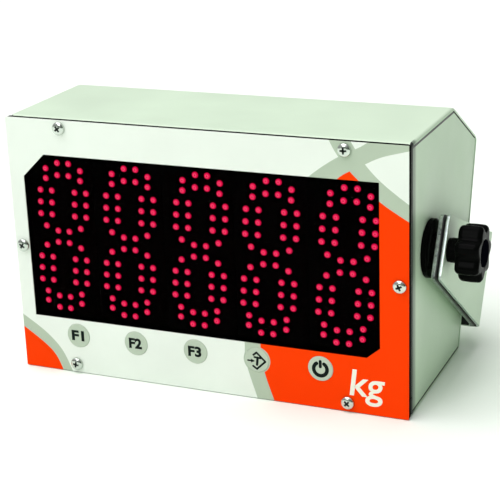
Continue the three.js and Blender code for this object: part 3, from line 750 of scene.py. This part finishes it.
def tare_symbol(x, z):
    """A diamond that opens to the left, with a small T in it and an arrow that points into it."""
    diamond = [
        (x - 1.6, z + 2.8), (x, z + 4.2), (x + 4.4, z), (x, z - 4.2), (x - 1.9, z - 2.9),
    ]
    shapes = stroke(diamond, 1.0)
    shapes += stroke([(x - 1.1, z + 1.7), (x + 2.0, z + 1.5)], 1.0)
    shapes += stroke([(x + 0.5, z + 1.6), (x + 0.1, z - 2.0)], 1.25)
    shapes += stroke([(x - 4.5, z - 0.3), (x - 1.6, z - 0.3)], 0.8)
    arrow_head = [(x - 2.9, z - 1.3), (x - 0.9, z - 0.3), (x - 2.9, z + 0.7)]
    return [*shapes, arrow_head]


def power_symbol(x, z):
    """A ring that is open at the top, with a bar in the opening."""
    radius, half_gap, steps = 3.3, math.radians(34), 40
    start = math.pi / 2 + half_gap
    turns = [start + 2 * (math.pi - half_gap) * k / steps for k in range(steps + 1)]
    ring = [(x + radius * math.cos(a), z - 0.3 + radius * math.sin(a)) for a in turns]
    return stroke(ring, 1.8) + stroke([(x, z + 3.6), (x, z + 0.9)], 1.5)


def keys():
    for key in KEYS:
        centre, front = key_face(key)
        body = "key_" + key
        if key == "tare":
            ink_shape("key_tare_legend", tare_symbol(centre.x, centre.z - 0.3), front, body)
        elif key == "power":
            ink_shape("key_power_legend", power_symbol(centre.x, centre.z + 0.1), front, body)
        else:
            lettering(
                body + "_legend", key.upper(), centre.x - 3.8, centre.z - 2.7, (7.0, 5.5), front,
                body, BLACK_INK, bold=0.045,
            )


# ---- Digits -------------------------------------------------------------------------------------


def digit_places(centre):
    for across, up in DIGIT_QUARTER_MM:
        for side in (-1, 1):
            for half in (-1, 1):
                yield (
                    centre.x + (side * across + half * up * SLANT) * MM,
                    centre.z + half * up * MM,
                )


def add_lamp(bm, spread, x, z, tip, back):
    """A round lamp with a domed tip that faces -Y."""
    steps = 24
    dome = LAMP_MM["dome"] * MM
    stations = [(math.sin(a), tip + dome * (1 - math.cos(a))) for a in QUARTER]
    rings = []
    for share, y in [*stations, (1.0, back)]:
        reach = LAMP_MM["radius"] * MM * share
        angles = full_turn(steps) if share else [0]
        corners = [(x + reach * math.cos(a), y, z + reach * math.sin(a)) for a in angles]
        ring = [bm.verts.new(corner) for corner in corners]
        for vertex in ring:
            vertex[spread] = share
        rings.append(ring)
    join_rings(bm, rings, steps)
    bm.faces.new(rings[-1])


def digit_lamps(node, mask):
    """The 48 lamps of a digit. "spread" runs from 0 on a lamp's axis to 1 at its rim, and the
    lamps' material draws the die and the cup with it."""
    bm = bmesh.new()
    spread = bm.verts.layers.float.new("spread")
    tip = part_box(node)[0].y
    for x, z in digit_places(middle(node)):
        add_lamp(bm, spread, x, z, tip, mask + LAMP_MM["sunk"] * MM)
    bmesh.ops.recalc_face_normals(bm, faces=bm.faces[:])
    piece(node + "_lamps", bm, "housing", [LOOKS["red_led"]], [node], 60)


def digit_edge(number, outer_edge, side):
    """Where a digit's black mask ends: near the next digit's mask, or else at the outer edge."""
    if not 1 <= number + side <= 5:
        return outer_edge
    between = middle(f"led_digit_{number}") + middle(f"led_digit_{number + side}")
    return between.x / 2 / MM - side * MASK_GAP_MM / 2


def digit(number):
    """The lamps of a digit, whose tips stand out of a black mask that fills the window."""
    node = f"led_digit_{number}"
    lo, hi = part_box(node)
    mask = lo.y + LAMP_MM["proud"] * MM
    digit_lamps(node, mask)

    low, high = (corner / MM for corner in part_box("window_lens"))
    left = digit_edge(number, low.x - MASK_PAST_MM["side"], -1)
    right = digit_edge(number, high.x + MASK_PAST_MM["side"], 1)
    bottom, top = low.z - MASK_PAST_MM["low"], high.z + MASK_PAST_MM["top"]
    outline = [(left, bottom), (right, bottom), (right, top), (left, top)]
    bm = flat_sheet([(0, outline)], [], mask, (hi.y - mask) / MM)
    piece(node + "_mask", bm, "housing", [BLACK_BOARD])


# ---- Screws and knobs ---------------------------------------------------------------------------


def cross_cutter(angle):
    """Two crossed wedges, narrower as they go down, for a cross recess that opens towards -Y."""
    tip, blade, depth = SCREW_MM["cross"], SCREW_MM["cross_width"], SCREW_MM["cross_depth"]
    ends = ((-0.6, tip + 0.25, blade + 0.15), (depth, 0.45, blade * 0.55))
    bm = bmesh.new()
    for turn in (0, math.pi / 2):
        spin = Matrix.Rotation(turn + angle, 3, "Y")
        corners = []
        for y, reach, width in ends:
            half = width / 2
            flat = ((-reach, -half), (reach, -half), (reach, half), (-reach, half))
            corners.append([bm.verts.new((a * MM, y * MM, b * MM)) for a, b in flat])
        top, bottom = corners
        bm.faces.new(top)
        bm.faces.new(bottom[::-1])
        for i in range(4):
            j = (i + 1) % 4
            bm.faces.new((top[j], top[i], bottom[i], bottom[j]))
        bmesh.ops.rotate(bm, verts=top + bottom, cent=(0, 0, 0), matrix=spin)
    bmesh.ops.recalc_face_normals(bm, faces=bm.faces[:])
    # The recess faces take the second material, the painted shade.
    for face in bm.faces:
        face.material_index = 1
    return bm


def carved(bm, cutter):
    """A shape less the cutter. The faces that the cutter leaves get a darker material, shade
    painted into the recess.
    """
    objects = []
    for shape in (bm, cutter):
        mesh = bpy.data.meshes.new("draft")
        mesh.materials.append(LOOKS["zinc_steel"])
        mesh.materials.append(RECESS_SHADE)
        shape.to_mesh(mesh)
        shape.free()
        objects.append(bpy.data.objects.new("draft", mesh))
        bpy.context.scene.collection.objects.link(objects[-1])
    whole, tool = objects
    modifier = whole.modifiers.new("recess", "BOOLEAN")
    modifier.object = tool
    modifier.operation = "DIFFERENCE"
    modifier.solver = "EXACT"
    modifier.use_self = True
    graph = bpy.context.evaluated_depsgraph_get()
    result = bmesh.new()
    result.from_mesh(bpy.data.meshes.new_from_object(whole.evaluated_get(graph)))
    for obj in objects:
        bpy.data.objects.remove(obj)
    return result


def panel_screw(number):
    """A pan head with a cross recess, on its plain shank."""
    node = f"panel_screw_{number}"
    lo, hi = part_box(node)
    centre = (lo + hi) / 2
    radius, seat, shank = SCREW_MM["radius"], SCREW_MM["head"], SCREW_MM["shank"]
    rise = seat - SCREW_MM["flat"]
    crown = [
        (radius * math.sin(a) ** 0.85, rise - rise * math.cos(a) ** 0.8)
        for a in (math.radians(10 * step) for step in range(10))
    ]
    length = (hi.y - lo.y) / MM
    profile = [*crown, (radius, seat), (shank, seat), (shank, length), (0, length)]
    bm = turned([(r * MM, y * MM) for r, y in profile], 48)
    bm = carved(bm, cross_cutter(math.radians(20 + 34 * number)))
    bmesh.ops.translate(bm, verts=bm.verts, vec=(centre.x, lo.y, centre.z))
    looks = [LOOKS["zinc_steel"], RECESS_SHADE]
    piece(node + "_head", bm, "housing", looks, [node], 38)


def star_ring(lobed, round_radius, inset, steps):
    """Radii round a ring that lies between a circle (lobed 0) and the star's outline (lobed 1)."""
    size = KNOB_MM
    mean = (size["radius"] + size["valley"]) / 2
    swing = (size["radius"] - size["valley"]) / 2
    radii = []
    for i in range(steps):
        star = mean + swing * math.cos(KNOB_LOBES * 2 * math.pi * i / steps) - inset
        radii.append(lobed * star + (1 - lobed) * round_radius)
    return radii


def star_rings(length, steps):
    """The lobed part of the knob: a rounded edge at each end, and a slight swell between."""
    start, edge = KNOB_MM["hub_length"], KNOB_MM["edge"]
    near, far = [], []
    for a in QUARTER:
        rising, falling = edge * (1 - math.sin(a)), edge * (1 - math.cos(a))
        near.append((start + falling + 0.05, star_ring(1, 0, rising, steps)))
        far.append((length - rising, star_ring(1, 0, falling, steps)))
    swell = ((start + length) / 2, star_ring(1, 0, -0.12, steps))
    return [*near, swell, *far]


def star_knob():
    """A seven-lobed grip with rounded rims, a waisted hub with a moulding step, and a recess."""
    lo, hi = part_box("star_knob")
    length, steps = (hi.x - lo.x) / MM, KNOB_LOBES * 20
    bore, hub, neck = KNOB_MM["bore"], KNOB_MM["hub"], KNOB_MM["hub_length"]
    edge, bore_end = KNOB_MM["edge"], length - KNOB_MM["bore_end"]
    lip, floor = CAP_MM["radius"] + CAP_MM["play"], length - CAP_MM["recess"]
    hub_profile = [
        (bore_end, 0), (bore_end, bore), (0, bore),
        (0, hub - 0.5), (0.15, hub - 0.15), (0.5, hub),
        (neck - 1.1, hub), (neck - 0.4, hub + 0.25), (neck - 0.05, hub + 1.0),
    ]
    recess_profile = [(length - 0.05, lip + 0.25), (length - 0.25, lip), (floor, lip), (floor, 0)]
    rings = [
        *round_rings(hub_profile, steps),
        (neck + 0.05, star_ring(0.35, hub + 1.0, edge, steps)),
        *star_rings(length, steps),
        (length - 0.02, star_ring(0.25, lip + 0.6, edge, steps)),
        *round_rings(recess_profile, steps),
    ]
    bm = swept_rings(rings, steps, 1, lo.x, middle("knob_stud"))
    looks = [LOOKS["black_plastic"]]
    piece("star_knob_grip", bm, "knob", looks, ["star_knob"], 50)


def knob_cap():
    """The pressed-in disc that closes the grip, slightly domed with a rounded rim."""
    lo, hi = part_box("knob_cap")
    length = (hi.x - lo.x) / MM
    radius, edge, steps = CAP_MM["radius"], CAP_MM["edge"], 64
    side = length - edge - CAP_MM["dome"]
    rim = [(side + edge * math.sin(a), radius - edge * (1 - math.cos(a))) for a in QUARTER]
    profile = [
        (0, 0), (0, radius), *rim, (length - 0.06, radius * 0.6), (length, radius * 0.3),
        (length, 0),
    ]
    bm = swept_rings(round_rings(profile, steps), steps, 1, lo.x, middle("knob_stud"))
    piece("knob_cap_disc", bm, "knob", [LOOKS["cap_plastic"]], ["knob_cap"], 50)


def spacer(side, direction):
    """A moulded disc that tapers to a neck against the bracket's arm."""
    node = "spacer_" + side
    lo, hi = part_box(node)
    length, steps = (hi.x - lo.x) / MM - ARM_EXTRA_MM, 96
    radius, rim, neck = SPACER_MM["radius"], SPACER_MM["rim"], SPACER_MM["neck"]
    bore = SPACER_MM["bore"]
    profile = [
        (0, bore), (0, radius - 0.3), (0.3, radius), (rim - 0.4, radius), (rim, radius - 0.4),
        (rim + 0.5, radius - 2.0), (length - 1.4, neck + 1.4), (length - 0.7, neck + 0.2),
        (length - 0.2, neck), (length, neck - 0.2), (length, bore), (0, bore),
    ]
    start = lo.x if direction > 0 else hi.x
    bm = swept_rings(round_rings(profile, steps), steps, direction, start, middle(node))
    piece(node + "_disc", bm, "housing", [LOOKS["black_plastic"]], [node], 30)


def gland_cap():
    """The gland's dome nut, with fine grip ribs round it and a hole for a cord."""
    lo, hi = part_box("gland_cap")
    length, steps = (hi.x - lo.x) / MM, GLAND_RIBS * 6
    outer, end, hole, thread = (GLAND_MM[part] for part in ("radius", "end", "hole", "thread"))
    shoulder = length - GLAND_MM["dome"]
    inside = length - GLAND_MM["wall"]
    waves = [max(0.0, math.cos(GLAND_RIBS * a)) for a in full_turn(steps)]
    ribbed = [outer + GLAND_MM["rib"] * (wave - 1) for wave in waves]
    dome = [
        (shoulder + GLAND_MM["dome"] * math.sin(a), end + (outer - end - 0.2) * math.cos(a))
        for a in QUARTER
    ]
    back_profile = [
        (0.2, thread), (0, thread + 0.3), (0, outer - 0.5), (0.4, outer), (0.9, outer),
    ]
    front_profile = [
        *dome, (length - 0.1, hole + 0.4), (length - 0.6, hole), (inside, hole),
        (inside, thread), (0.2, thread),
    ]
    rings = [
        *round_rings(back_profile, steps), (1.1, ribbed), (shoulder - 0.4, ribbed),
        *round_rings(front_profile, steps),
    ]
    bm = swept_rings(rings, steps, -1, hi.x, middle("gland_body"))
    looks = [LOOKS["black_plastic"]]
    piece("gland_cap_dome", bm, "housing", looks, ["gland_cap"])


# ---- The object ---------------------------------------------------------------------------------


def finish_cad_nodes():
    """Every CAD node that stays gets its slot's finish."""
    for name, node in frame["nodes"].items():
        node.data.materials.clear()
        node.data.materials.append(LOOKS[SLOT_OF[name]])
    frame["nodes"]["display_board"].data.materials[0] = BLACK_BOARD


def build():
    finish_cad_nodes()
    for node, edge_mm in (
        ("case_wrap", 0.35), ("front_panel", 0.15), ("pivot_bolt", 0.3), ("gland_body", 0.25),
    ):
        rounded_copy(node, edge_mm)
    rounded_copy("right_side_plate", 0.2, look=SIDE_PAINT)
    rounded_copy("left_side_plate", 0.2, look=SIDE_PAINT)
    thicken_arms(rounded_copy("tilt_bracket", 0.3, look=BRACKET_PAINT))
    front_overlay()
    keys()
    for number in range(1, 6):
        digit(number)
    for number in range(1, 7):
        panel_screw(number)
    spacer("right", 1)
    spacer("left", -1)
    star_knob()
    knob_cap()
    gland_cap()
    lettering(
        "unit_legend", "kg", UNIT_MM["left"], UNIT_MM["low"], (None, UNIT_MM["height"]),
        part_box("front_overlay")[0].y, "housing", CREAM_INK, bold=0.012, lean=0.12,
    )


# ---- Studio -------------------------------------------------------------------------------------
CAMERA_AT = (0.2788, -0.6399, 0.2955)
# In degrees: to the left of +Y, up from level, and turned about the line of sight.
CAMERA_HEADING, CAMERA_PITCH, CAMERA_ROLL = 23.60983, -19.17934, -2.12959
LENS_LENGTH_MM, SENSOR_MM = 104.99, 36
FLOOR_HALF = 60.0
LIGHTS_AIM = Vector((0, 0, 0.06))
KEY_LIGHT_AT, KEY_LIGHT_WATTS, KEY_LIGHT_SIZE = (-0.35, -1.7, 1.3), 12, 0.9
OVERHEAD_AT, OVERHEAD_STRENGTH, OVERHEAD_SPREAD = (-0.5, -0.2, 2.0), 2.6, math.radians(60)
OVERHEAD_COLOR = (1.0, 0.93, 1.0)
SKY_STRENGTH = 0.6
SKY_DIRECTION = (-0.35, 0.0, 0.9)  # the sky gets brighter this way
SKY_STOPS = ((0.0, (0.10, 0.15, 0.10, 1.0)), (0.85, (1.0, 0.96, 1.0, 1.0)))


def add_camera():
    data = bpy.data.cameras.new("camera")
    data.sensor_width = SENSOR_MM
    data.lens = LENS_LENGTH_MM
    camera = bpy.data.objects.new("camera", data)
    heading = Matrix.Rotation(math.radians(CAMERA_HEADING), 4, "Z")
    pitch = Matrix.Rotation(math.radians(90 + CAMERA_PITCH), 4, "X")
    roll = Matrix.Rotation(math.radians(CAMERA_ROLL), 4, "Z")
    camera.matrix_world = Matrix.Translation(CAMERA_AT) @ heading @ pitch @ roll
    bpy.context.scene.collection.objects.link(camera)
    bpy.context.scene.camera = camera


def add_floor():
    """A pale floor that is wide enough for its edge to be out of sight from low down."""
    bm = bmesh.new()
    half = FLOOR_HALF
    corners = [(-half, -half, 0), (half, -half, 0), (half, half, 0), (-half, half, 0)]
    bm.faces.new([bm.verts.new(corner) for corner in corners])
    mesh = bpy.data.meshes.new("floor")
    bm.to_mesh(mesh)
    bm.free()
    floor = bpy.data.objects.new("floor", mesh)
    finish = Finish(
        "floor", Specular_IOR_Level=0.1, Emission_Strength=0.05,
        Emission_Color=(0.8, 1.0, 0.8, 1.0),
    )
    cloud = finish.noise(3, 2)
    finish.give("Base Color", finish.mix(cloud, (0.81, 0.89, 0.80), (0.84, 0.92, 0.83)))
    finish.give("Roughness", finish.span(finish.noise(8, 2), 0.85, 0.95))
    mesh.materials.append(finish.material)
    bpy.context.scene.collection.objects.link(floor)


def add_light(name, kind, at, energy, **settings):
    data = bpy.data.lights.new(name, kind)
    data.energy = energy
    for setting, value in settings.items():
        setattr(data, setting, value)
    light = bpy.data.objects.new(name, data)
    light.location = at
    light.rotation_mode = "QUATERNION"
    light.rotation_quaternion = (LIGHTS_AIM - Vector(at)).to_track_quat("-Z", "Y")
    bpy.context.scene.collection.objects.link(light)


def add_sky():
    """A room that is bright overhead, and darker low down and to the right."""
    world = bpy.data.worlds.new("studio")
    world.use_nodes = True
    tree = world.node_tree
    place = tree.nodes.new("ShaderNodeTexCoord")
    along = tree.nodes.new("ShaderNodeVectorMath")
    along.operation = "DOT_PRODUCT"
    along.inputs[1].default_value = SKY_DIRECTION
    ramp = tree.nodes.new("ShaderNodeValToRGB")
    tree.links.new(place.outputs["Generated"], along.inputs[0])
    tree.links.new(along.outputs["Value"], ramp.inputs["Fac"])
    for element, (position, color) in zip(ramp.color_ramp.elements, SKY_STOPS):
        element.position = position
        element.color = color
    background = tree.nodes["Background"]
    tree.links.new(ramp.outputs["Color"], background.inputs["Color"])
    background.inputs["Strength"].default_value = SKY_STRENGTH
    bpy.context.scene.world = world


def add_studio():
    """The sky, a soft key light from the front, and a broad light overhead."""
    add_sky()
    bpy.context.scene.view_settings.view_transform = "Standard"
    add_light("key", "AREA", KEY_LIGHT_AT, KEY_LIGHT_WATTS, size=KEY_LIGHT_SIZE)
    add_light(
        "overhead", "SUN", OVERHEAD_AT, OVERHEAD_STRENGTH,
        angle=OVERHEAD_SPREAD, color=OVERHEAD_COLOR,
    )


add_camera()
add_floor()
add_studio()
build()
